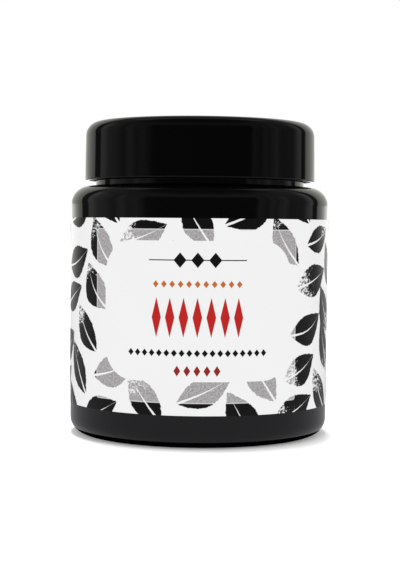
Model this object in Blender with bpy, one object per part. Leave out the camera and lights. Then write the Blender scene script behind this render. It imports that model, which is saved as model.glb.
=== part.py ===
"""A round wide-mouth jar: dark glass, a smooth black screw lid, its sealing disc and a paper label.

Metres, +Z up. The origin is the middle of the base, and the middle of the label faces -Y.
"""

import math

import bmesh
import bpy

# ---------------------------------------------------------------- driving dimensions
SEGMENTS = 64  # facets round every turned piece
STEP = 2 * math.pi / SEGMENTS
SHARP_ANGLE_DEG = 35.0  # edges sharper than this stay crisp in the shading

# Glass body
BODY_RADIUS = 0.036
WALL = 0.0038
FLOOR_THICKNESS = 0.0045
FLOOR_DOME = 0.0007  # how far the floor rises inside, at its middle
HEEL_RADIUS = 0.0045  # the rounded edge of the base
SHOULDER_RADIUS = 0.0052
SHOULDER_TOP = 0.0688  # height of the ledge that the neck stands on
INNER_SHOULDER_RADIUS = 0.0044
BEARING_INNER = 0.0245  # the base stands on a flat ring outside this radius
PUSH_UP = 0.0018  # height of the hollow under the base

# Neck
NECK_RADIUS = 0.0292
NECK_WALL = 0.003
NECK_FOOT_RADIUS = 0.0012  # the hollow round between neck and shoulder
MOUTH_FLARE_RADIUS = 0.0016  # where the inside of the neck turns out under the shoulder
NECK_TOP = 0.0832
RIM_RADIUS = 0.0008

# Screw thread: one right-handed start, once round the neck and once inside the lid
PITCH = 0.0042
RIDGE_FOOT = 0.0024  # width of a ridge where it meets its wall
RIDGE_CREST = 0.0008
RIDGE_ROOT = 0.0004  # how far a ridge reaches into its wall
RIDGE_FADE_DEG = 22.0  # each end of a ridge sinks into its wall over this angle
END_WIDTH = 0.5  # a ridge's width at its two ends, as a share of its full width
NECK_THREAD_TURNS = 1.25
NECK_THREAD_HEIGHT = 0.0013
NECK_THREAD_TOP = NECK_TOP - 0.0021  # middle of the ridge at its upper end
LID_THREAD_TURNS = 1.0
LID_THREAD_HEIGHT = 0.00115
LID_THREAD_START_TURNS = 0.125  # from the upper end of the neck's ridge to that of the lid's
LID_THREAD_DROP = 0.00155  # how far the lid's ridge runs under the neck's

# Lid
LID_TOP = 0.0867
LID_BOTTOM = 0.0704
LID_TOP_RADIUS = 0.032
LID_BOTTOM_RADIUS = 0.0322
LID_EDGE_RADIUS = 0.0038
LID_INNER_RADIUS = 0.0309
LID_PANEL = 0.0018  # thickness of the flat top
LID_LIP_RADIUS = 0.0004
LID_CORNER = 0.0004  # small slope where the skirt meets the underside of the top

# Sealing disc, loose between the lid and the rim
DISC_RADIUS = 0.0301
DISC_THICKNESS = 0.0012
DISC_GAP = 0.0002
DISC_EDGE = 0.0002

# Label: a paper strip with a narrow gap between its ends at the back
LABEL_BOTTOM = 0.0089
LABEL_TOP = 0.0599
LABEL_GAP = 0.00015  # between glass and paper
LABEL_THICKNESS = 0.00012
LABEL_END_GAP = 0.0036
LABEL_SEGMENTS = 64


# ---------------------------------------------------------------- helpers
def clear_scene():
    for obj in list(bpy.data.objects):
        bpy.data.objects.remove(obj)


def material(name, colour, roughness, metallic=0.0):
    made = bpy.data.materials.new(name)
    made.use_nodes = True
    shader = made.node_tree.nodes["Principled BSDF"]
    shader.inputs["Base Color"].default_value = (*colour, 1.0)
    shader.inputs["Roughness"].default_value = roughness
    shader.inputs["Metallic"].default_value = metallic
    return made


def arc(centre, radius, start_deg, end_deg, steps, flatten=1.0):
    """Points on an arc, as (radius, height): 0 degrees points outwards, 90 up. flatten scales its height."""
    r, z = centre
    angles = [math.radians(start_deg + (end_deg - start_deg) * i / steps) for i in range(steps + 1)]
    return [(r + radius * math.cos(a), z + radius * flatten * math.sin(a)) for a in angles]


def around(angle, radius, height):
    """A point at an angle from the front (-Y), counter-clockwise seen from above."""
    return (radius * math.sin(angle), -radius * math.cos(angle), height)


def object_from(shape, name, finish):
    """Turns a bmesh into a named object, with its faces pointing out."""
    bmesh.ops.recalc_face_normals(shape, faces=shape.faces)
    mesh = bpy.data.meshes.new(name)
    shape.to_mesh(mesh)
    shape.free()
    mesh.materials.append(finish)
    mesh.shade_smooth()
    mesh.set_sharp_from_angle(angle=math.radians(SHARP_ANGLE_DEG))
    obj = bpy.data.objects.new(name, mesh)
    bpy.context.scene.collection.objects.link(obj)
    return obj


def turned(name, profile, finish):
    """A solid of revolution about Z. The profile is a list of (radius, height) from the axis to the axis."""
    shape = bmesh.new()
    corners = [shape.verts.new(around(0.0, r, z)) for r, z in profile]
    edges = [shape.edges.new(pair) for pair in zip(corners, corners[1:])]
    bmesh.ops.spin(
        shape,
        geom=corners + edges,
        cent=(0, 0, 0),
        axis=(0, 0, 1),
        angle=2 * math.pi,
        steps=SEGMENTS,
        use_merge=True,
    )
    bmesh.ops.remove_doubles(shape, verts=shape.verts, dist=1e-7)
    return object_from(shape, name, finish)


def lofted(name, sections, finish):
    """A closed solid through a row of cross-sections with equally many corners."""
    shape = bmesh.new()
    rings = [[shape.verts.new(corner) for corner in section] for section in sections]
    for ring, after in zip(rings, rings[1:]):
        for i in range(len(ring)):
            j = (i + 1) % len(ring)
            shape.faces.new((ring[i], ring[j], after[j], after[i]))
    shape.faces.new(rings[0][::-1])
    shape.faces.new(rings[-1])
    return object_from(shape, name, finish)


def fuse(obj, other):
    """Joins another shape to an object, and keeps it as a hidden helper."""
    other.hide_render = True
    other.display_type = "WIRE"
    union = obj.modifiers.new("fuse_" + other.name, "BOOLEAN")
    union.operation = "UNION"
    union.object = other


# ---------------------------------------------------------------- screw thread
def ridge_section(angle, middle, wall_radius, outward, rise, width):
    """One cross-section of a ridge: a trapezium whose foot lies inside the wall."""
    root = wall_radius - outward * RIDGE_ROOT
    crest = wall_radius + outward * rise
    foot_half = width * RIDGE_FOOT / 2
    crest_half = width * RIDGE_CREST / 2
    return [
        around(angle, root, middle - foot_half),
        around(angle, crest, middle - crest_half),
        around(angle, crest, middle + crest_half),
        around(angle, root, middle + foot_half),
    ]


def thread_ridge(name, wall_radius, outward, height, turns, start_turns, drop, finish):
    """A helical ridge that falls clockwise, seen from above, from its upper end.

    outward is 1 for a ridge outside a wall and -1 for one inside. start_turns and drop place the
    upper end: that many turns on, and that far below, the line of the neck's ridge.
    """
    steps = round(turns * SEGMENTS)
    fade_steps = math.radians(RIDGE_FADE_DEG) / STEP
    sunk = -RIDGE_ROOT / 2
    sections = []
    for i in range(steps + 1):
        angle = -2 * math.pi * start_turns - i * STEP
        middle = NECK_THREAD_TOP - drop + PITCH * angle / (2 * math.pi)
        fade = math.sin(min(1.0, i / fade_steps, (steps - i) / fade_steps) * math.pi / 2)
        rise = sunk + (height - sunk) * fade
        width = END_WIDTH + (1 - END_WIDTH) * fade
        sections.append(ridge_section(angle, middle, wall_radius, outward, rise, width))
    return lofted(name, sections, finish)


# ---------------------------------------------------------------- jar
def base_and_body():
    """From the middle of the base, out and up to the edge of the shoulder."""
    profile = arc((0.0, 0.0), BEARING_INNER, 90, 0, 3, flatten=PUSH_UP / BEARING_INNER)
    profile += arc((BODY_RADIUS - HEEL_RADIUS, HEEL_RADIUS), HEEL_RADIUS, -90, 0, 6)
    shoulder = (BODY_RADIUS - SHOULDER_RADIUS, SHOULDER_TOP - SHOULDER_RADIUS)
    return profile + arc(shoulder, SHOULDER_RADIUS, 0, 90, 6)


def neck():
    """Up the outside of the neck, over the rim and down to where the inside widens."""
    mouth = NECK_RADIUS - NECK_WALL
    foot = (NECK_RADIUS + NECK_FOOT_RADIUS, SHOULDER_TOP + NECK_FOOT_RADIUS)
    flare = (mouth + MOUTH_FLARE_RADIUS, SHOULDER_TOP - WALL + MOUTH_FLARE_RADIUS)
    profile = arc(foot, NECK_FOOT_RADIUS, -90, -180, 2)
    profile += arc((NECK_RADIUS - RIM_RADIUS, NECK_TOP - RIM_RADIUS), RIM_RADIUS, 0, 90, 2)
    profile += arc((mouth + RIM_RADIUS, NECK_TOP - RIM_RADIUS), RIM_RADIUS, 90, 180, 2)
    return profile + arc(flare, MOUTH_FLARE_RADIUS, 180, 270, 2)


def inside():
    """From under the shoulder, down the inner wall to the middle of the floor."""
    wall = BODY_RADIUS - WALL
    ceiling = SHOULDER_TOP - WALL
    shoulder = (wall - INNER_SHOULDER_RADIUS, ceiling - INNER_SHOULDER_RADIUS)
    heel = (wall - HEEL_RADIUS, FLOOR_THICKNESS + HEEL_RADIUS)
    profile = arc(shoulder, INNER_SHOULDER_RADIUS, 90, 0, 3)
    profile += arc(heel, HEEL_RADIUS, 0, -90, 3)
    return profile + [(0.0, FLOOR_THICKNESS + FLOOR_DOME)]


def make_jar():
    glass = material("jar_glass", (0.006, 0.005, 0.008), 0.05)
    jar = turned("jar", base_and_body() + neck() + inside(), glass)
    ridge = thread_ridge(
        "neck_thread", NECK_RADIUS, 1, NECK_THREAD_HEIGHT, NECK_THREAD_TURNS, 0.0, 0.0, glass
    )
    fuse(jar, ridge)


# ---------------------------------------------------------------- lid
def lid_profile():
    underside = LID_TOP - LID_PANEL
    edge = (LID_TOP_RADIUS - LID_EDGE_RADIUS, LID_TOP - LID_EDGE_RADIUS)
    outer_lip = (LID_BOTTOM_RADIUS - LID_LIP_RADIUS, LID_BOTTOM + LID_LIP_RADIUS)
    inner_lip = (LID_INNER_RADIUS + LID_LIP_RADIUS, LID_BOTTOM + LID_LIP_RADIUS)
    profile = [(0.0, LID_TOP)]
    profile += arc(edge, LID_EDGE_RADIUS, 90, 0, 6)
    profile += arc(outer_lip, LID_LIP_RADIUS, 0, -90, 2)
    profile += arc(inner_lip, LID_LIP_RADIUS, -90, -180, 2)
    profile += [(LID_INNER_RADIUS, underside - LID_CORNER), (LID_INNER_RADIUS - LID_CORNER, underside)]
    return profile + [(0.0, underside)]


def make_lid():
    plastic = material("lid_plastic", (0.008, 0.008, 0.009), 0.12)
    lid = turned("lid", lid_profile(), plastic)
    ridge = thread_ridge(
        "lid_thread",
        LID_INNER_RADIUS,
        -1,
        LID_THREAD_HEIGHT,
        LID_THREAD_TURNS,
        LID_THREAD_START_TURNS,
        LID_THREAD_DROP,
        plastic,
    )
    fuse(lid, ridge)


# ---------------------------------------------------------------- sealing disc and label
def make_sealing_disc():
    foam = material("disc_foam", (0.86, 0.86, 0.84), 0.6)
    bottom = NECK_TOP + DISC_GAP
    top = bottom + DISC_THICKNESS
    outline = [
        (0.0, bottom),
        (DISC_RADIUS - DISC_EDGE, bottom),
        (DISC_RADIUS, bottom + DISC_EDGE),
        (DISC_RADIUS, top - DISC_EDGE),
        (DISC_RADIUS - DISC_EDGE, top),
        (0.0, top),
    ]
    turned("sealing_disc", outline, foam)


def make_label():
    paper = material("label_paper", (0.88, 0.88, 0.88), 0.45)
    back = BODY_RADIUS + LABEL_GAP
    front = back + LABEL_THICKNESS
    half_angle = math.pi - LABEL_END_GAP / 2 / back
    sections = []
    for i in range(LABEL_SEGMENTS + 1):
        angle = half_angle * (2 * i / LABEL_SEGMENTS - 1)
        sections.append(
            [
                around(angle, back, LABEL_BOTTOM),
                around(angle, front, LABEL_BOTTOM),
                around(angle, front, LABEL_TOP),
                around(angle, back, LABEL_TOP),
            ]
        )
    lofted("label", sections, paper)


clear_scene()
make_jar()
make_lid()
make_sealing_disc()
make_label()
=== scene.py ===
"""The looks of a dark glass jar with a black screw lid, its sealing disc and a printed paper label.

Metres, +Z up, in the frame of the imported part: the origin is the middle of the base, and the middle of
the label faces -Y. Every CAD node is replaced by a finer mesh of the same piece, which adds its small
forms and its print.
"""

import math

import bpy
import numpy as np
from mathutils import Euler, Matrix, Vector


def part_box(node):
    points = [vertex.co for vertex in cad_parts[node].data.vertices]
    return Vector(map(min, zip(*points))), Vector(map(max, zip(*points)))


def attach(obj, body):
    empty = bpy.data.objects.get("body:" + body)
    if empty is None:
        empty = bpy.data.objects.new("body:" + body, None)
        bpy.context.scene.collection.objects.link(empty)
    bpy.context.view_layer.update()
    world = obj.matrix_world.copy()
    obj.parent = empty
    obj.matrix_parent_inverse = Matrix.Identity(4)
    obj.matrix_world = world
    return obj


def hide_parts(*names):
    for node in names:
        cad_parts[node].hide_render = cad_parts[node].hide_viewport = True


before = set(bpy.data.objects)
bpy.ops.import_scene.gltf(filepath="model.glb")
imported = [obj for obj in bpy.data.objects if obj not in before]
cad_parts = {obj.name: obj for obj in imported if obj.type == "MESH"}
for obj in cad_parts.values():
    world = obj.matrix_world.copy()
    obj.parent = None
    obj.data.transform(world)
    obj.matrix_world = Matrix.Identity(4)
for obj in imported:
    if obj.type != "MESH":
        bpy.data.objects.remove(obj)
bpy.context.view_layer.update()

# ---------------------------------------------------------------- sizes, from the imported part
jar_low, jar_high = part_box("jar")
lid_low, lid_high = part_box("lid")
disc_low, disc_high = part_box("sealing_disc")
label_low, label_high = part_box("label")

MM = 0.001

# Glass body
BODY_RADIUS = jar_high.x
NECK_TOP = jar_high.z
WALL = 3.8 * MM
FLOOR_THICKNESS = 4.5 * MM
FLOOR_DOME = 0.7 * MM
HEEL_RADIUS = 4.5 * MM
SHOULDER_RADIUS = 5.2 * MM
SHOULDER_TOP = 68.8 * MM
INNER_SHOULDER_RADIUS = 4.4 * MM
BEARING_INNER = 24.5 * MM
PUSH_UP = 1.8 * MM
KNURLS = 64  # shallow grooves across the ring that the jar stands on
KNURL_DEPTH = 0.12 * MM
SEAM_HEIGHT = 0.03 * MM  # the two faint lines where the mould opened, at each side
SEAM_WIDTH = 0.25 * MM
SEAM_COLUMNS = (-1.5, -0.75, 0.75, 1.5)  # extra columns of points beside a seam, in seam widths

# Neck
NECK_RADIUS = 29.2 * MM
NECK_WALL = 3 * MM
NECK_FOOT_RADIUS = 0.3 * MM
MOUTH_FLARE_RADIUS = 1.6 * MM
RIM_RADIUS = 0.8 * MM

# Screw thread
PITCH = 4.2 * MM
RIDGE_HALF_FOOT = 1.12 * MM  # half width where a ridge meets its wall
RIDGE_HALF_CREST = 0.36 * MM
RIDGE_FADE_TURNS = 22 / 360
RIDGE_END_SHARE = 0.5  # of its width that a ridge keeps where it has faded out
RIDGE_MOST_LAPS = 3
NECK_THREAD_TURNS = 1.25
NECK_THREAD_HEIGHT = 1.3 * MM
NECK_THREAD_TOP = NECK_TOP - 2.1 * MM
LID_THREAD_TURNS = 1.0
LID_THREAD_HEIGHT = 1.15 * MM
LID_THREAD_START_TURNS = 0.125
LID_THREAD_DROP = 1.55 * MM

# Lid
LID_TOP = lid_high.z
LID_BOTTOM = lid_low.z
LID_BOTTOM_RADIUS = lid_high.x
LID_TOP_RADIUS = LID_BOTTOM_RADIUS - 0.2 * MM
LID_EDGE_RADIUS = 3.8 * MM
LID_INNER_RADIUS = 30.9 * MM
LID_PANEL = 1.8 * MM
LID_LIP_RADIUS = 0.4 * MM
LID_CORNER = 0.4 * MM

# Sealing disc
DISC_RADIUS = disc_high.x
DISC_EDGE = 0.2 * MM
RIM_PRINT_DEPTH = 0.12 * MM  # the ring that the glass rim has pressed into the foam

# Label
LABEL_BACK_GAP = 0.05 * MM  # between glass and paper
LABEL_THICKNESS = 0.12 * MM
LABEL_END_GAP = 3.6 * MM
LABEL_BOTTOM = label_low.z
LABEL_TOP = label_high.z
PRINT_STEP = 0.5 * MM  # distance between the label's mesh points

# Mesh density
COLUMNS = 320  # round every turned piece
THREAD_ROW = 0.2 * MM
PUSH_UP_ROWS = 13
FLOOR_RINGS = (0.75, 0.5, 0.25, 0.0)  # on the jar's floor, and on flat faces: shares of a radius
FLAT_RINGS = (0.0, 0.3, 0.6, 0.9)
HOLD = 0.12 * MM  # extra rows this close to the ends of straight stretches keep them straight
SHARP_DEG = 40  # edges that turn by more than this are shaded sharp


# ---------------------------------------------------------------- mesh helpers
def arc(centre, radius, start_deg, end_deg, steps):
    """Points on an arc, as (radius, height): 0 degrees points outwards, 90 up."""
    angles = np.radians(np.linspace(start_deg, end_deg, steps + 1))
    return [(centre[0] + radius * math.cos(a), centre[1] + radius * math.sin(a)) for a in angles]


def straight(start, end, rows=0):
    """The inner points of a straight stretch: one close to each end, and some evenly spaced between."""
    start, end = np.array(start), np.array(end)
    length = np.linalg.norm(end - start)
    near = HOLD / length
    shares = [near, *np.linspace(0, 1, rows + 2)[1:-1], 1 - near]
    return [tuple(start + (end - start) * share) for share in shares]


def columns():
    """Angles round the axis from -Y, counter-clockwise, with extra ones at the two mould seams."""
    even = np.arange(COLUMNS) * 2 * math.pi / COLUMNS
    offsets = np.array(SEAM_COLUMNS) * SEAM_WIDTH / BODY_RADIUS
    seams = [side + offset for side in (math.pi / 2, 3 * math.pi / 2) for offset in offsets]
    return np.sort(np.concatenate([even, seams]))


def around(angle, radius, height):
    """Points at an angle from the front (-Y), counter-clockwise seen from above."""
    height = np.broadcast_to(height, np.shape(angle))
    return np.stack([radius * np.sin(angle), -radius * np.cos(angle), height], axis=-1)


def mesh_object(name, points, faces):
    mesh = bpy.data.meshes.new(name)
    mesh.from_pydata(points, [], faces)
    mesh.validate()
    mesh.shade_smooth()
    mesh.set_sharp_from_angle(angle=math.radians(SHARP_DEG))
    obj = bpy.data.objects.new(name, mesh)
    bpy.context.scene.collection.objects.link(obj)
    return obj


def turned(name, outline, relief=None):
    """A closed turned surface. With radius to the right and height up, the outline runs from axis to axis
    with the material on its left.

    relief(angles, radius, height) gives a row's own radii and heights, for ridges and grooves.
    """
    angles = columns()
    count = len(angles)
    points = [(0.0, 0.0, outline[0][1])]
    for radius, height in outline[1:-1]:
        radii, heights = relief(angles, radius, height) if relief else (radius, height)
        points.extend(around(angles, radii, heights).tolist())
    points.append((0.0, 0.0, outline[-1][1]))
    last = len(points) - 1
    rows = len(outline) - 2
    faces = []
    for i in range(count):
        j = (i + 1) % count
        faces.append((0, 1 + j, 1 + i))
        for row in range(rows - 1):
            base = 1 + row * count
            faces.append((base + i, base + j, base + count + j, base + count + i))
        base = 1 + (rows - 1) * count
        faces.append((base + i, base + j, last))
    return mesh_object(name, points, faces)


# ---------------------------------------------------------------- screw thread
def ridge_rise(angles, height, rise, turns, start_turns=0.0, drop=0.0):
    """How far a helical ridge stands out of its wall, at each angle of a row at that height.

    rise and turns are the ridge's height and length. start_turns is how far down the helix its upper end
    lies, and drop is how far the helix lies below the neck's.
    """
    out = np.zeros_like(angles)
    for lap in range(1, RIDGE_MOST_LAPS + 1):
        along = angles / (2 * math.pi) - lap + start_turns  # turns past the ridge's upper end, negative
        middle = NECK_THREAD_TOP - drop + PITCH * (along - start_turns)
        ends = np.minimum(-along, turns + along) / RIDGE_FADE_TURNS
        fade = np.sin(np.clip(ends, 0, 1) * math.pi / 2)
        width = RIDGE_END_SHARE + (1 - RIDGE_END_SHARE) * fade
        foot = RIDGE_HALF_FOOT * width
        crest = RIDGE_HALF_CREST * width
        slope = np.clip((foot - np.abs(height - middle)) / (foot - crest), 0, 1)
        out = np.maximum(out, rise * fade * slope * slope * (3 - 2 * slope))
    return out


# ---------------------------------------------------------------- jar
def push_up():
    """The hollow under the base, from its middle out to the bearing ring."""
    radii = np.linspace(0, BEARING_INNER, PUSH_UP_ROWS)
    return [(r, PUSH_UP * (1 - (r / BEARING_INNER) ** 3)) for r in radii]


def jar_outline():
    heel = (BODY_RADIUS - HEEL_RADIUS, HEEL_RADIUS)
    outline = push_up()
    outline += straight((BEARING_INNER, 0.0), (heel[0], 0.0), rows=7)
    outline += arc(heel, HEEL_RADIUS, -90, 0, steps=12)
    shoulder = (BODY_RADIUS - SHOULDER_RADIUS, SHOULDER_TOP - SHOULDER_RADIUS)
    outline += straight((BODY_RADIUS, HEEL_RADIUS), (BODY_RADIUS, shoulder[1]), rows=3)
    outline += arc(shoulder, SHOULDER_RADIUS, 0, 90, steps=16)

    foot = (NECK_RADIUS + NECK_FOOT_RADIUS, SHOULDER_TOP + NECK_FOOT_RADIUS)
    outline += arc(foot, NECK_FOOT_RADIUS, -90, -180, steps=6)
    rim = NECK_TOP - RIM_RADIUS
    thread_rows = round((rim - foot[1]) / THREAD_ROW)
    outline += straight((NECK_RADIUS, foot[1]), (NECK_RADIUS, rim), thread_rows)
    outline += arc((NECK_RADIUS - RIM_RADIUS, rim), RIM_RADIUS, 0, 90, steps=6)
    mouth = NECK_RADIUS - NECK_WALL
    outline += arc((mouth + RIM_RADIUS, rim), RIM_RADIUS, 90, 180, steps=6)
    flare = (mouth + MOUTH_FLARE_RADIUS, SHOULDER_TOP - WALL + MOUTH_FLARE_RADIUS)
    outline += straight((mouth, rim), (mouth, flare[1]))
    outline += arc(flare, MOUTH_FLARE_RADIUS, 180, 270, steps=6)

    wall = BODY_RADIUS - WALL
    shoulder = (wall - INNER_SHOULDER_RADIUS, SHOULDER_TOP - WALL - INNER_SHOULDER_RADIUS)
    outline += arc(shoulder, INNER_SHOULDER_RADIUS, 90, 0, steps=8)
    heel = (wall - HEEL_RADIUS, FLOOR_THICKNESS + HEEL_RADIUS)
    outline += straight((wall, shoulder[1]), (wall, heel[1]), rows=3)
    outline += arc(heel, HEEL_RADIUS, 0, -90, steps=8)
    for share in FLOOR_RINGS:
        outline.append((heel[0] * share, FLOOR_THICKNESS + FLOOR_DOME * (1 - share * share)))
    return outline


def jar_relief(angles, radius, height):
    """The thread on the neck, the mould seams on the body and the knurls under the base."""
    radii = np.full_like(angles, radius)
    heights = np.full_like(angles, height)
    if radius == NECK_RADIUS:
        radii += ridge_rise(angles, height, NECK_THREAD_HEIGHT, NECK_THREAD_TURNS)
    outer = (radius - BODY_RADIUS + WALL) / WALL  # 1 on the body's wall, 0 where the seams end
    if outer > 0 and height > 0:
        from_seam = (np.abs(np.sin(angles)) - 1) * -2  # square of the angle from the nearer seam
        radii += SEAM_HEIGHT * outer * np.exp(-from_seam * (BODY_RADIUS / SEAM_WIDTH) ** 2)
    if height == 0:
        share = (radius - BEARING_INNER) / (BODY_RADIUS - HEEL_RADIUS - BEARING_INNER)
        groove = KNURL_DEPTH * math.sin(math.pi * min(max(share, 0.0), 1.0))
        heights += groove * (0.5 - 0.5 * np.cos(KNURLS * angles))
    return radii, heights


# ---------------------------------------------------------------- lid and sealing disc
def lid_outline():
    underside = LID_TOP - LID_PANEL
    lip = LID_BOTTOM + LID_LIP_RADIUS
    outline = [(LID_INNER_RADIUS * share, underside) for share in FLAT_RINGS]
    skirt_top = underside - LID_CORNER
    outline += [(LID_INNER_RADIUS - LID_CORNER, underside), (LID_INNER_RADIUS, skirt_top)]
    thread_rows = round((skirt_top - lip) / THREAD_ROW)
    outline += straight((LID_INNER_RADIUS, skirt_top), (LID_INNER_RADIUS, lip), thread_rows)
    outline += arc((LID_INNER_RADIUS + LID_LIP_RADIUS, lip), LID_LIP_RADIUS, 180, 270, steps=5)
    outline += arc((LID_BOTTOM_RADIUS - LID_LIP_RADIUS, lip), LID_LIP_RADIUS, -90, 0, steps=5)
    edge = (LID_TOP_RADIUS - LID_EDGE_RADIUS, LID_TOP - LID_EDGE_RADIUS)
    outline += straight((LID_BOTTOM_RADIUS, lip), (LID_TOP_RADIUS, edge[1]), rows=3)
    outline += arc(edge, LID_EDGE_RADIUS, 0, 90, steps=14)
    outline += straight((edge[0], LID_TOP), (0.0, LID_TOP), rows=4)
    return outline + [(0.0, LID_TOP)]


def lid_relief(angles, radius, height):
    """The thread inside the skirt."""
    radii = np.full_like(angles, radius)
    if radius == LID_INNER_RADIUS:
        radii -= ridge_rise(
            angles,
            height,
            LID_THREAD_HEIGHT,
            LID_THREAD_TURNS,
            LID_THREAD_START_TURNS,
            LID_THREAD_DROP,
        )
    return radii, np.full_like(angles, height)


def disc_outline():
    """The foam disc, with the print of the glass rim in its underside."""
    bottom, top = disc_low.z, disc_high.z
    outline = [(DISC_RADIUS * share, bottom) for share in FLAT_RINGS[:-1]]
    for share in np.linspace(-0.2, 1.2, 15):  # across the glass rim, and a little past both its sides
        radius = NECK_RADIUS - NECK_WALL + NECK_WALL * share
        depth = RIM_PRINT_DEPTH * math.sin(math.pi * min(max(share, 0.0), 1.0)) ** 0.5
        outline.append((radius, bottom + depth))
    outline += arc((DISC_RADIUS - DISC_EDGE, bottom + DISC_EDGE), DISC_EDGE, -90, 0, steps=4)
    outline += arc((DISC_RADIUS - DISC_EDGE, top - DISC_EDGE), DISC_EDGE, 0, 90, steps=4)
    return outline + [(DISC_RADIUS * share, top) for share in reversed(FLAT_RINGS)]


# ---------------------------------------------------------------- label
# The print is laid out in millimetres: across from the middle of the label, and up from its lower edge.
STEM_PITCH = 27.5  # between the white stems that the leaves grow from
STEM_LEAN = 0.3  # how far a stem leans for each millimetre up
STEM_SWAY = 1.5
STEM_WAVE = 9.0
LEAF_PITCH = 11.6  # between two leaves on one side of a stem
LEAF_LENGTH = 17.5
LEAF_HALF_WIDTH = 4.3
LEAF_POINT = 1.1  # over 1 makes the ends sharper
LEAF_BELLY = 0.9  # under 1 moves the widest place towards the foot
LEAF_END_FALL = 2  # how fast the distance inside falls past a leaf's ends
LEAF_TILT_DEG = 50.0  # from the stem
LEAF_BEND = 1.5  # how far a leaf's middle line bows
LEAF_GAP = 0.7  # from the stem to the foot of a leaf
LEAF_VALUES = ("leaf_edge", "leaf_aside", "leaf_share", "leaf_wear")  # kept at the mesh points
FAR_OUTSIDE = -99.0
PAIR_STAGGER = 0.25  # shares of LEAF_PITCH: a leaf from the middle of its pair, and a stem from the next
STEM_STAGGER = 0.5
PRINT_SEED = 7
HEIGHT_SCATTER = 0.6
TILT_SCATTER_DEG = 6
LENGTH_SPREAD = (0.84, 1.0)  # shares of the length, the half width and the bend given above
WIDTH_SPREAD = (0.84, 1.05)
BEND_SPREAD = (0.2, 1.2)
RIB_HALF_WIDTH = 0.3  # of a leaf's bare midrib at its foot
RIB_WAVE = 0.3  # how much of the edges' unevenness the midrib shares
WORN_SHARE = 0.4  # of the leaves, printed with too little ink towards one end
WEAR_SPREAD = (0.7, 1.0)
PANEL_HALF = (29.4, 22.4)  # the veil that turns the leaves grey, and its middle
PANEL_MIDDLE = (-1.0, 25.7)
PANEL_CORNER = 0.6
FIELD_HALF = (26.7, 18.2)  # the plain field inside it
FIELD_MIDDLE = (-0.3, 27.0)
FIELD_CORNER = 9.0


def leaf(across, up, middle, angle, length, half_width, bend):
    """A pointed leaf. Gives, at each point, the millimetres inside (+) or outside (-) its edge, those to
    the side of its middle line, and the share of its length from its foot."""
    dx, dy = across - middle[0], up - middle[1]
    along = dx * math.cos(angle) + dy * math.sin(angle)
    aside = -dx * math.sin(angle) + dy * math.cos(angle)
    share = np.clip(along / length + 0.5, 0, 1)
    aside = aside - bend * np.sin(math.pi * share)
    half = half_width * np.sin(math.pi * share**LEAF_BELLY) ** LEAF_POINT
    beyond = np.maximum(np.abs(along) - length / 2, 0)
    return half - np.abs(aside) - LEAF_END_FALL * beyond, aside, share


def leaf_place(chance, stem, step, side, half_way_up):
    """One leaf of the pattern: its middle, angle, length, half width and bend."""
    y = (step + PAIR_STAGGER * side + STEM_STAGGER * (stem % 2)) * LEAF_PITCH
    y += chance.uniform(-HEIGHT_SCATTER, HEIGHT_SCATTER)
    sway = STEM_SWAY * math.sin(y / STEM_WAVE + stem)
    x = stem * STEM_PITCH + STEM_LEAN * (y - half_way_up) + sway
    tilt_deg = LEAF_TILT_DEG + chance.uniform(-TILT_SCATTER_DEG, TILT_SCATTER_DEG)
    angle = math.pi / 2 - math.atan(STEM_LEAN) - side * math.radians(tilt_deg)
    length = LEAF_LENGTH * chance.uniform(*LENGTH_SPREAD)
    reach = length / 2 + LEAF_GAP
    middle = (x + reach * math.cos(angle), y + reach * math.sin(angle))
    half_width = LEAF_HALF_WIDTH * chance.uniform(*WIDTH_SPREAD)
    bend = -side * LEAF_BEND * chance.uniform(*BEND_SPREAD)
    return middle, angle, length, half_width, bend


def leaf_wear(chance, share):
    """How worn a leaf is along its length: not at all, or more and more towards one of its ends."""
    wear = share if chance.random() < 0.5 else 1 - share
    is_worn = chance.random() < WORN_SHARE
    return wear * chance.uniform(*WEAR_SPREAD) if is_worn else 0 * share


def leaves(across, up):
    """Leaves in pairs along leaning, swaying stems: the LEAF_VALUES of the nearest leaf at each point."""
    chance = np.random.default_rng(PRINT_SEED)
    stems = math.ceil(across.max() / STEM_PITCH) + 1
    steps = math.ceil(up.max() / LEAF_PITCH) + 2
    nearest = np.stack([np.full_like(across, FAR_OUTSIDE), 0 * across, 0 * across, 0 * across])
    for stem in range(-stems, stems + 1):
        for step in range(-2, steps):
            for side in (-1, 1):
                place = leaf_place(chance, stem, step, side, up.max() / 2)
                edge, aside, share = leaf(across, up, *place)
                wear = leaf_wear(chance, share)
                nearest = np.where(edge > nearest[0], np.stack([edge, aside, share, wear]), nearest)
    return nearest


def box_edge(across, up, middle, half, corner):
    """Millimetres inside (+) or outside (-) a rectangle with round corners."""
    dx = np.abs(across - middle[0]) - half[0] + corner
    dy = np.abs(up - middle[1]) - half[1] + corner
    outside = np.hypot(np.maximum(dx, 0), np.maximum(dy, 0))
    return corner - outside - np.minimum(np.maximum(dx, dy), 0)


def add_attribute(obj, name, kind, field, values):
    attribute = obj.data.attributes.new(name, kind, "POINT")
    attribute.data.foreach_set(field, np.ascontiguousarray(values, np.float32).ravel())


def store_print(obj, across, up):
    """Keeps the place in the print, and the distances inside its outlines, at the label's mesh points."""
    add_attribute(obj, "print_place", "FLOAT_VECTOR", "vector", np.stack([across, up, 0 * up], axis=-1))
    for name, values in zip(LEAF_VALUES, leaves(across, up)):
        add_attribute(obj, name, "FLOAT", "value", values)
    panel = box_edge(across, up, PANEL_MIDDLE, PANEL_HALF, PANEL_CORNER)
    add_attribute(obj, "panel_edge", "FLOAT", "value", panel)
    field = box_edge(across, up, FIELD_MIDDLE, FIELD_HALF, FIELD_CORNER)
    add_attribute(obj, "field_edge", "FLOAT", "value", field)


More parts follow.
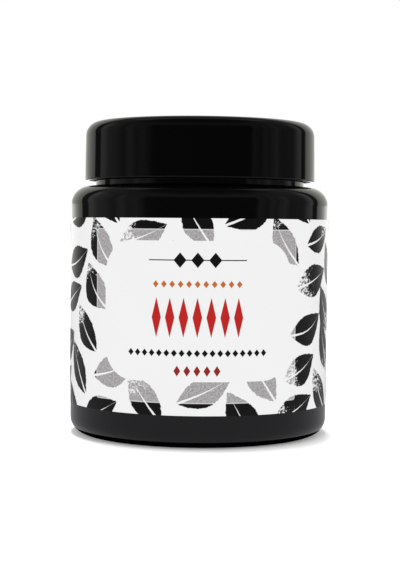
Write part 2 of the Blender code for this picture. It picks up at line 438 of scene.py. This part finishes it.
def label_sheet():
    """The paper strip: a fine grid in front, which carries the print, and a plain back."""
    back_radius = BODY_RADIUS + LABEL_BACK_GAP
    front_radius = back_radius + LABEL_THICKNESS
    half_angle = math.pi - LABEL_END_GAP / 2 / back_radius
    steps = round(2 * half_angle * front_radius / PRINT_STEP)
    rows = round((LABEL_TOP - LABEL_BOTTOM) / PRINT_STEP) + 1
    angles = np.linspace(-half_angle, half_angle, steps + 1)
    heights = np.linspace(LABEL_BOTTOM, LABEL_TOP, rows)
    front = np.concatenate([around(angles, front_radius, height) for height in heights])
    back = np.concatenate([around(angles, back_radius, height) for height in (LABEL_BOTTOM, LABEL_TOP)])
    count = steps + 1
    low, high = rows * count, (rows + 1) * count  # where the back's two rows of points start
    top = (rows - 1) * count  # and the front's last row
    faces = []
    for i in range(steps):
        for row in range(rows - 1):
            base = row * count + i
            faces.append((base, base + 1, base + count + 1, base + count))
        faces.append((low + i, low + i + 1, i + 1, i))
        faces.append((top + i, top + i + 1, high + i + 1, high + i))
        faces.append((low + i + 1, low + i, high + i, high + i + 1))
    left = [row * count for row in range(rows)]
    faces.append((low, *left, high))
    right = [row * count + steps for row in reversed(range(rows))]
    faces.append((high + steps, *right, low + steps))
    obj = mesh_object("paper_label", np.concatenate([front, back]).tolist(), faces)

    across = np.tile(angles, rows + 2) * front_radius / MM
    up = (np.repeat([*heights, LABEL_BOTTOM, LABEL_TOP], count) - LABEL_BOTTOM) / MM
    store_print(obj, across, up)
    return obj


# ---------------------------------------------------------------- material helpers
class Nodes:
    """Short ways to build a node tree. A value may be a number, a colour or another node's output."""

    def __init__(self, tree):
        self.tree = tree

    def add(self, kind, inputs=(), **settings):
        node = self.tree.nodes.new(kind)
        for key, value in settings.items():
            setattr(node, key, value)
        for key, value in dict(inputs).items():
            self.put(node.inputs[key], value)
        return node

    def put(self, socket, value):
        if isinstance(value, bpy.types.NodeSocket):
            self.tree.links.new(value, socket)
        else:
            socket.default_value = value

    def math(self, operation, first, second=0.0, clamp=False):
        inputs = {0: first, 1: second}
        return self.add("ShaderNodeMath", inputs, operation=operation, use_clamp=clamp).outputs[0]

    def attribute(self, name):
        """A number stored at the mesh's points."""
        return self.add("ShaderNodeAttribute", attribute_name=name).outputs["Fac"]

    def noise(self, place, scale, detail=3.0, roughness=0.5):
        inputs = {"Vector": place, "Scale": scale, "Detail": detail, "Roughness": roughness}
        return self.add("ShaderNodeTexNoise", inputs).outputs["Fac"]

    def span(self, value, low, high, to_low=0.0, to_high=1.0, smooth=True):
        """value from low..high to to_low..to_high, clamped."""
        inputs = {"Value": value, "From Min": low, "From Max": high, "To Min": to_low, "To Max": to_high}
        kind = "SMOOTHSTEP" if smooth else "LINEAR"
        return self.add("ShaderNodeMapRange", inputs, interpolation_type=kind).outputs[0]

    def mix(self, share, first, second):
        """A colour between two colours."""
        node = self.add("ShaderNodeMix", data_type="RGBA")
        for index, value in ((0, share), (6, first), (7, second)):
            self.put(node.inputs[index], value)
        return node.outputs[2]

    def bump(self, height, distance):
        inputs = {"Height": height, "Distance": distance, "Strength": 1.0}
        return self.add("ShaderNodeBump", inputs).outputs[0]


def new_material(name):
    """A material with a Principled shader: returns the material, its node helper and the shader."""
    material = bpy.data.materials.new(name)
    material.use_nodes = True
    shader = material.node_tree.nodes["Principled BSDF"]
    return material, Nodes(material.node_tree), shader


def colour(red, green, blue):
    return (red, green, blue, 1.0)


# ---------------------------------------------------------------- materials
# A surface varies between its two tints and its two roughnesses. Noise scales are per metre, and on the
# print per millimetre.
GLASS_TINTS = (colour(0.0007, 0.0006, 0.0009), colour(0.0012, 0.0011, 0.0014))
GLASS_ROUGHNESS = (0.018, 0.05)
GLASS_IOR = 1.5
GLASS_WAVES = 0.03 * MM  # depth of the relief
LID_TINTS = (colour(0.0006, 0.0006, 0.0006), colour(0.0011, 0.0011, 0.0012))
LID_ROUGHNESS = (0.022, 0.06)
LID_IOR = 1.38  # fitted to the photo under the studio below: real plastics are nearer to 1.5
LID_SKIN = 0.0015 * MM
FOAM_TINTS = (colour(0.74, 0.74, 0.71), colour(0.86, 0.86, 0.84))
FOAM_ROUGHNESS = 0.62
FOAM_CELLS = 0.08 * MM
PAPER_TINTS = (colour(0.910, 0.910, 0.913), colour(0.890, 0.890, 0.894))
PAPER_ROUGHNESS = (0.22, 0.3)
PAPER_GLOSS = 0.22
PAPER_TOOTH = 0.006 * MM
BLACK_INK = colour(0.0045, 0.0041, 0.0037)
GREY_INKS = (colour(0.270, 0.255, 0.265), colour(0.520, 0.500, 0.512))
RED_INK = colour(0.520, 0.012, 0.010)
DARK_RED_INK = colour(0.300, 0.016, 0.010)
AMBER_INK = colour(0.560, 0.150, 0.030)


def glass_material():
    """Dark glass that lets no light through: a clean surface with the slow waves of a moulded piece."""
    material, nodes, shader = new_material("dark_glass")
    place = nodes.add("ShaderNodeTexCoord").outputs["Object"]
    cloud = nodes.noise(place, 45.0)
    nodes.put(shader.inputs["Base Color"], nodes.mix(cloud, *GLASS_TINTS))
    shader.inputs["IOR"].default_value = GLASS_IOR
    handling = nodes.noise(place, 220.0, detail=5.0)
    nodes.put(shader.inputs["Roughness"], nodes.span(handling, 0.5, 0.8, *GLASS_ROUGHNESS))
    long_place = nodes.add("ShaderNodeMapping", {"Vector": place, "Scale": (1.0, 1.0, 0.3)}).outputs[0]
    waves = nodes.noise(long_place, 95.0, detail=2.0)
    nodes.put(shader.inputs["Normal"], nodes.bump(waves, GLASS_WAVES))
    return material


def lid_material():
    """Smooth moulded plastic with a very fine skin."""
    material, nodes, shader = new_material("black_plastic")
    place = nodes.add("ShaderNodeTexCoord").outputs["Object"]
    cloud = nodes.noise(place, 60.0)
    nodes.put(shader.inputs["Base Color"], nodes.mix(cloud, *LID_TINTS))
    shader.inputs["IOR"].default_value = LID_IOR
    handling = nodes.noise(place, 160.0, detail=5.0)
    nodes.put(shader.inputs["Roughness"], nodes.span(handling, 0.45, 0.8, *LID_ROUGHNESS))
    skin = nodes.noise(place, 2600.0, detail=2.0)
    nodes.put(shader.inputs["Normal"], nodes.bump(skin, LID_SKIN))
    return material


def foam_material():
    """White closed-cell foam."""
    material, nodes, shader = new_material("white_foam")
    place = nodes.add("ShaderNodeTexCoord").outputs["Object"]
    cells = nodes.add("ShaderNodeTexVoronoi", {"Vector": place, "Scale": 2400.0}).outputs["Distance"]
    nodes.put(shader.inputs["Base Color"], nodes.mix(cells, *FOAM_TINTS))
    shader.inputs["Roughness"].default_value = FOAM_ROUGHNESS
    nodes.put(shader.inputs["Normal"], nodes.bump(cells, FOAM_CELLS))
    return material


# ---------------------------------------------------------------- printed paper
# In millimetres on the label, as the print's layout above.
EDGE_WANDER = 0.28  # how far a printed edge strays to either side
INK_FADE = (-0.05, 0.08)  # across a leaf's edge, from bare to inked
RIB_FADE = (-0.03, 0.06)
RIB_SHARES = (0.1, 0.8)  # of a leaf's length, between which its midrib narrows to nothing
WEAR_SPAN = (0.25, 0.8)
SPECK_LIMITS = (0.78, 0.45)  # the speck noise leaves paper bare above this, unworn and fully worn
SPECK_HARDNESS = 16.0
OUTLINE_SOFT = 0.06
PANEL_HAIRLINE = (0.06, 0.18)  # to each side of the panel's edge: thin ink, then full ink
HAIRLINE_INK = 0.35
SHAPE_SOFT = 0.04
RULE_END_SOFT = 0.1
GRAIN_SPAN = (0.36, 0.64)  # of the grain noise, from dark to light grey

# The ornament: a rule (height, half length, half thickness), and rows of lozenges (ink, height, pitch, how
# many to each side of the middle one, half width, half height)
RULE = (40.2, 13.0, 0.14)
LOZENGE_ROWS = (
    (BLACK_INK, 40.2, 4.6, 1, 1.7, 2.0),
    (AMBER_INK, 34.0, 2.2, 5, 0.75, 0.95),
    (RED_INK, 25.4, 3.6, 3, 1.25, 5.2),
    (BLACK_INK, 16.2, 2.0, 9, 0.8, 0.95),
    (DARK_RED_INK, 11.6, 2.6, 2, 0.9, 1.4),
)


def leaf_ink(nodes, place):
    """Where the leaf print holds ink, 0 to 1: crisp uneven edges, a bare midrib, and worn ends full of
    bare specks."""
    edge, aside, share, wear = [nodes.attribute(name) for name in LEAF_VALUES]
    uneven = nodes.noise(place, 0.9, detail=4.0, roughness=0.65)
    ragged = nodes.span(uneven, 0.25, 0.75, -EDGE_WANDER, EDGE_WANDER, smooth=False)
    ink = nodes.span(nodes.math("ADD", edge, ragged), *INK_FADE)
    rib = nodes.span(share, *RIB_SHARES, RIB_HALF_WIDTH, 0, smooth=False)
    wavy = nodes.math("ADD", aside, nodes.math("MULTIPLY", ragged, RIB_WAVE))
    off_rib = nodes.math("SUBTRACT", nodes.math("ABSOLUTE", wavy), rib)
    ink = nodes.math("MULTIPLY", ink, nodes.span(off_rib, *RIB_FADE))
    specks = nodes.noise(place, 1.25, detail=4.0, roughness=0.8)
    patches = nodes.noise(place, 0.3, detail=2.0)
    patchy_wear = nodes.math("MULTIPLY", wear, nodes.math("ADD", patches, 0.5))
    limit = nodes.span(patchy_wear, *WEAR_SPAN, *SPECK_LIMITS)
    bare = nodes.math("MULTIPLY", nodes.math("SUBTRACT", specks, limit), SPECK_HARDNESS, clamp=True)
    return nodes.math("MULTIPLY", ink, nodes.math("SUBTRACT", 1.0, bare))


def inside(nodes, name):
    """1 inside one of the label's outlines, 0 outside."""
    return nodes.span(nodes.attribute(name), -OUTLINE_SOFT, OUTLINE_SOFT)


def bar(nodes, across, up, height, half_length, half_thickness):
    """A plain level rule."""
    aside = nodes.math("ABSOLUTE", nodes.math("SUBTRACT", up, height))
    on_line = nodes.span(aside, half_thickness + SHAPE_SOFT, half_thickness - SHAPE_SOFT)
    along = nodes.math("ABSOLUTE", across)
    return nodes.math("MULTIPLY", on_line, nodes.span(along, half_length, half_length - RULE_END_SOFT))


def lozenges(nodes, across, up, height, pitch, half_count, half_width, half_height):
    """A level row of lozenges: one in the middle, and half_count to each side."""
    whole = nodes.math("ROUND", nodes.math("DIVIDE", across, pitch))
    rest = nodes.math("ABSOLUTE", nodes.math("SUBTRACT", across, nodes.math("MULTIPLY", whole, pitch)))
    aside = nodes.math("ABSOLUTE", nodes.math("SUBTRACT", up, height))
    share_across = nodes.math("DIVIDE", rest, half_width)
    share_up = nodes.math("DIVIDE", aside, half_height)
    reach = nodes.math("ADD", share_across, share_up)
    soft = SHAPE_SOFT / half_width
    shape = nodes.span(reach, 1.0 + soft, 1.0 - soft)
    in_row = nodes.math("LESS_THAN", nodes.math("ABSOLUTE", whole), half_count + 0.5)
    return nodes.math("MULTIPLY", shape, in_row)


def label_material():
    """Semi-gloss white paper with a block-printed leaf pattern, a veiled panel and a small ornament."""
    material, nodes, shader = new_material("printed_paper")
    place = nodes.add("ShaderNodeAttribute", attribute_name="print_place").outputs["Vector"]
    axes = nodes.add("ShaderNodeSeparateXYZ", {0: place})
    across = nodes.math("SUBTRACT", axes.outputs[0], FIELD_MIDDLE[0])
    up = axes.outputs[1]

    grain = nodes.noise(place, 1.9, detail=3.0, roughness=0.75)
    grey = nodes.mix(nodes.span(grain, *GRAIN_SPAN, smooth=False), *GREY_INKS)
    leaf_colour = nodes.mix(inside(nodes, "panel_edge"), BLACK_INK, grey)
    from_panel = nodes.math("ABSOLUTE", nodes.attribute("panel_edge"))
    hairline = nodes.span(from_panel, *PANEL_HAIRLINE, HAIRLINE_INK, 1.0)
    printed = nodes.math("MULTIPLY", leaf_ink(nodes, place), hairline)
    outside_field = nodes.math("SUBTRACT", 1.0, inside(nodes, "field_edge"))
    ink = nodes.math("MULTIPLY", printed, outside_field)
    paper = nodes.mix(nodes.noise(place, 0.08, detail=2.0), *PAPER_TINTS)
    shown = nodes.mix(ink, paper, leaf_colour)
    shown = nodes.mix(bar(nodes, across, up, *RULE), shown, BLACK_INK)
    for row_ink, *row in LOZENGE_ROWS:
        shown = nodes.mix(lozenges(nodes, across, up, *row), shown, row_ink)

    nodes.put(shader.inputs["Base Color"], shown)
    nodes.put(shader.inputs["Roughness"], nodes.span(grain, 0.2, 0.8, *PAPER_ROUGHNESS))
    nodes.put(shader.inputs["Normal"], nodes.bump(nodes.noise(place, 6.0), PAPER_TOOTH))
    shader.inputs["Specular IOR Level"].default_value = PAPER_GLOSS
    return material


# ---------------------------------------------------------------- pieces
def dress(obj, material, body, node):
    """Gives a finished piece its material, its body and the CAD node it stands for."""
    obj.data.materials.append(material)
    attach(obj, body)
    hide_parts(node)


def make_pieces():
    jar = turned("glass_jar", jar_outline(), jar_relief)
    dress(jar, glass_material(), "jar", "jar")
    lid = turned("screw_lid", lid_outline(), lid_relief)
    dress(lid, lid_material(), "lid", "lid")
    disc = turned("foam_disc", disc_outline())
    dress(disc, foam_material(), "sealing_disc", "sealing_disc")
    dress(label_sheet(), label_material(), "jar", "label")


# ---------------------------------------------------------------- studio
CAMERA_PLACE = (0.0003, -0.396, 0.05775)
CAMERA_DOWN_DEG = 2.384
CAMERA_ROLL_DEG = 0.53
FOCAL_LENGTH = 88.61
SENSOR_WIDTH = 36.0
CLIP_RANGE = (0.01, 20.0)

# What the gloss mirrors: a pale backdrop behind, a black gap beside it, a dim streaky flat at each side
# and a dark room in front. Each stop is in degrees from the front, and brightness. The stops were fitted to
# the reflections in the photo, so this isn't plain soft studio light.
LEFT_STUDIO = (
    (0, 0.038), (46, 0.048), (57, 0.2), (65, 0.15), (72, 0.28), (80, 0.13), (92, 0.22), (101, 0.22),
    (108, 0.36), (114.5, 0.34), (116, 0.05), (126.5, 0.05),
    (128, 0.52), (140, 0.62), (160, 0.7), (170, 0.8),
)
RIGHT_STUDIO = (
    (50, 0.038), (53, 0.16), (61, 0.1), (66, 0.2), (70, 0.14), (80, 0.26), (86, 0.13), (104, 0.12),
    (112, 0.32), (118, 0.36), (119.5, 0.05), (127, 0.05),
    (129, 0.58), (140, 0.68), (152, 0.75), (168, 0.8),
)
BACKDROP_START_DEG = 127
BACKDROP_TINT = (1.0, 1.0, 0.93)
FLAT_TINT = (0.99, 0.985, 1.02)
STUDIO_LEAN = 0.18  # flats and backdrop lean backwards: the share by which angles shrink, straight up

# The rest of it, at heights and sideways places that are sines of the angle seen from the jar
BACKDROP_TOP = (0.52, 0.7)  # where the backdrop and the flats give way to the ceiling
CEILING = (0.75, 0.95, 0.14, 0.035)  # two heights, and the ceiling's brightness at each
SOFTBOX_HALF_WIDTH = 0.4  # a soft light above and a little behind
SOFTBOX_REACH = (0.15, 0.5)  # from straight above towards the back
SOFTBOX_HEIGHT = (0.7, 0.8)
SOFTBOX_SOFT = 0.1
SOFTBOX_LIGHT = 0.22
HORIZON_GLOW = 0.7  # the bright far edge of the tabletop, behind
HORIZON_SIDES_DEG = (130, 156)
HORIZON_HEIGHT = 0.055
TABLETOP = (0.43, 0.417, 0.438)
TABLETOP_EDGE = (-0.03, -0.05)
PAINTED_SHADOW_RADIUS = 35.4 * MM  # of the black disc under the jar, seen only by gloss: a painted shadow where it meets the tabletop
ROOM_LIGHT = 1.0  # even light on everything that doesn't mirror
FLOOR_REACH = 12.0
FLOOR_SHADE = 0.78
FLOOR_GLOW = 0.2  # the tabletop is faintly lit from below
LAMP_PLACE = (-0.4, 1.3, 10.0)
LAMP_SIZE = (1.5, 2.6)
LAMP_POWER = 1150.0


def set_camera():
    data = bpy.data.cameras.new("camera")
    data.lens = FOCAL_LENGTH
    data.sensor_width = SENSOR_WIDTH
    data.clip_start, data.clip_end = CLIP_RANGE
    camera = bpy.data.objects.new("camera", data)
    bpy.context.scene.collection.objects.link(camera)
    look = Euler((math.radians(90 - CAMERA_DOWN_DEG), 0, 0)).to_matrix().to_4x4()
    roll = Matrix.Rotation(math.radians(CAMERA_ROLL_DEG), 4, "Z")
    camera.matrix_world = Matrix.Translation(CAMERA_PLACE) @ look @ roll
    bpy.context.scene.camera = camera


def studio_stops():
    """The mirrored walls as (place, colour): places run from 0 at -180 degrees to 1 at 180 degrees."""
    left = [(-angle, light) for angle, light in reversed(LEFT_STUDIO)]
    stops = []
    for angle, light in left + list(RIGHT_STUDIO):
        tint = BACKDROP_TINT if abs(angle) > BACKDROP_START_DEG else FLAT_TINT
        stops.append((0.5 + angle / 360, colour(*[light * share for share in tint])))
    return stops


def wall_light(nodes, angle):
    """The backdrop, the flats and the dark room in front, by the angle from the front."""
    turn = nodes.span(angle, -math.pi, math.pi, smooth=False)
    ramp = nodes.add("ShaderNodeValToRGB", {0: turn})
    elements = ramp.color_ramp.elements
    stops = studio_stops()
    while len(elements) < len(stops):
        elements.new(0.5)
    for element, (position, light) in zip(elements, stops):
        element.position = position
        element.color = light
    return ramp.outputs[0]


def horizon_light(nodes, angle, up):
    """The bright far edge of the tabletop."""
    start, full = [math.radians(degrees) for degrees in HORIZON_SIDES_DEG]
    behind = nodes.span(nodes.math("ABSOLUTE", angle), start, full, 0, HORIZON_GLOW)
    return nodes.math("MULTIPLY", behind, nodes.span(up, HORIZON_HEIGHT, 0.0))


def softbox_light(nodes, side, back, up):
    """The soft light above, which fades at its four sides."""
    near, far = SOFTBOX_REACH
    aside = nodes.math("ABSOLUTE", side)
    between_sides = nodes.span(aside, SOFTBOX_HALF_WIDTH + SOFTBOX_SOFT, SOFTBOX_HALF_WIDTH)
    past_near = nodes.span(back, near, near + SOFTBOX_SOFT, 0, SOFTBOX_LIGHT)
    before_far = nodes.span(back, far, far - SOFTBOX_SOFT)
    light = nodes.math("MULTIPLY", nodes.math("MULTIPLY", past_near, before_far), between_sides)
    return nodes.math("MULTIPLY", light, nodes.span(up, *SOFTBOX_HEIGHT))


def mirrored_studio(nodes):
    """What the gloss sees in each direction."""
    direction = nodes.add("ShaderNodeTexCoord").outputs["Generated"]
    side, back, up = nodes.add("ShaderNodeSeparateXYZ", {0: direction}).outputs
    angle = nodes.math("ARCTAN2", side, nodes.math("MULTIPLY", back, -1.0))
    lean = nodes.span(up, 0, 1, 1, 1 - STUDIO_LEAN, smooth=False)
    angle = nodes.math("MULTIPLY", angle, lean)
    above = nodes.mix(nodes.span(up, *BACKDROP_TOP), wall_light(nodes, angle), nodes.span(up, *CEILING))
    added = nodes.math("ADD", horizon_light(nodes, angle, up), softbox_light(nodes, side, back, up))
    lit = nodes.add("ShaderNodeVectorMath", {0: above, 1: added}, operation="ADD").outputs[0]
    return nodes.mix(nodes.span(up, *TABLETOP_EDGE), lit, colour(*TABLETOP))


def set_world():
    """An even white room for every ray but the gloss, which mirrors the dark studio."""
    world = bpy.data.worlds.new("studio")
    bpy.context.scene.world = world
    world.use_nodes = True
    world.cycles.sampling_method = "NONE"
    nodes = Nodes(world.node_tree)
    gloss = nodes.add("ShaderNodeLightPath").outputs["Is Glossy Ray"]
    room = colour(ROOM_LIGHT, ROOM_LIGHT, ROOM_LIGHT)
    background = world.node_tree.nodes["Background"]
    nodes.put(background.inputs["Color"], nodes.mix(gloss, room, mirrored_studio(nodes)))


def stage_piece(name, points, shade, glow=0.0):
    """A flat matt piece of the stage, which neither mirrors nor lights anything else."""
    mesh = bpy.data.meshes.new(name)
    mesh.from_pydata(points, [], [range(len(points))])
    piece = bpy.data.objects.new(name, mesh)
    bpy.context.scene.collection.objects.link(piece)
    material, _, shader = new_material(name)
    shader.inputs["Base Color"].default_value = colour(shade, shade, shade)
    shader.inputs["Roughness"].default_value = 1.0
    shader.inputs["Specular IOR Level"].default_value = 0.0
    shader.inputs["Emission Color"].default_value = colour(1.0, 1.0, 1.0)
    shader.inputs["Emission Strength"].default_value = glow
    mesh.materials.append(material)
    piece.visible_diffuse = False
    return piece


def set_floor():
    """A plain pale floor, and a painted shadow: a black disc under the jar that only gloss sees, in place
    of the shade where the jar meets the tabletop.
    """
    corners = [(x * FLOOR_REACH, y * FLOOR_REACH, 0) for x, y in ((-1, -1), (1, -1), (1, 1), (-1, 1))]
    floor = stage_piece("floor", corners, FLOOR_SHADE, FLOOR_GLOW)
    floor.visible_glossy = False
    turns = [2 * math.pi / COLUMNS * i for i in range(COLUMNS)]
    rim = [(PAINTED_SHADOW_RADIUS * math.cos(turn), PAINTED_SHADOW_RADIUS * math.sin(turn), 0) for turn in turns]
    # A painted shadow: a black disc that only the gloss sees, in place of the shade where the jar meets the
    # tabletop.
    painted_shadow = stage_piece("contact_shadow", rim, 0.0)
    painted_shadow.visible_camera = False
    painted_shadow.visible_shadow = False


def set_lamp():
    """A large lamp high above, a little to the left and behind, so the jar's shadow is short."""
    lamp = bpy.data.lights.new("overhead", "AREA")
    lamp.shape = "RECTANGLE"
    lamp.size, lamp.size_y = LAMP_SIZE
    lamp.energy = LAMP_POWER
    overhead = bpy.data.objects.new("overhead", lamp)
    overhead.location = LAMP_PLACE
    overhead.visible_glossy = False
    bpy.context.scene.collection.objects.link(overhead)


make_pieces()
set_camera()
set_world()
set_floor()
set_lamp()
bpy.context.scene.view_settings.view_transform = "Standard"
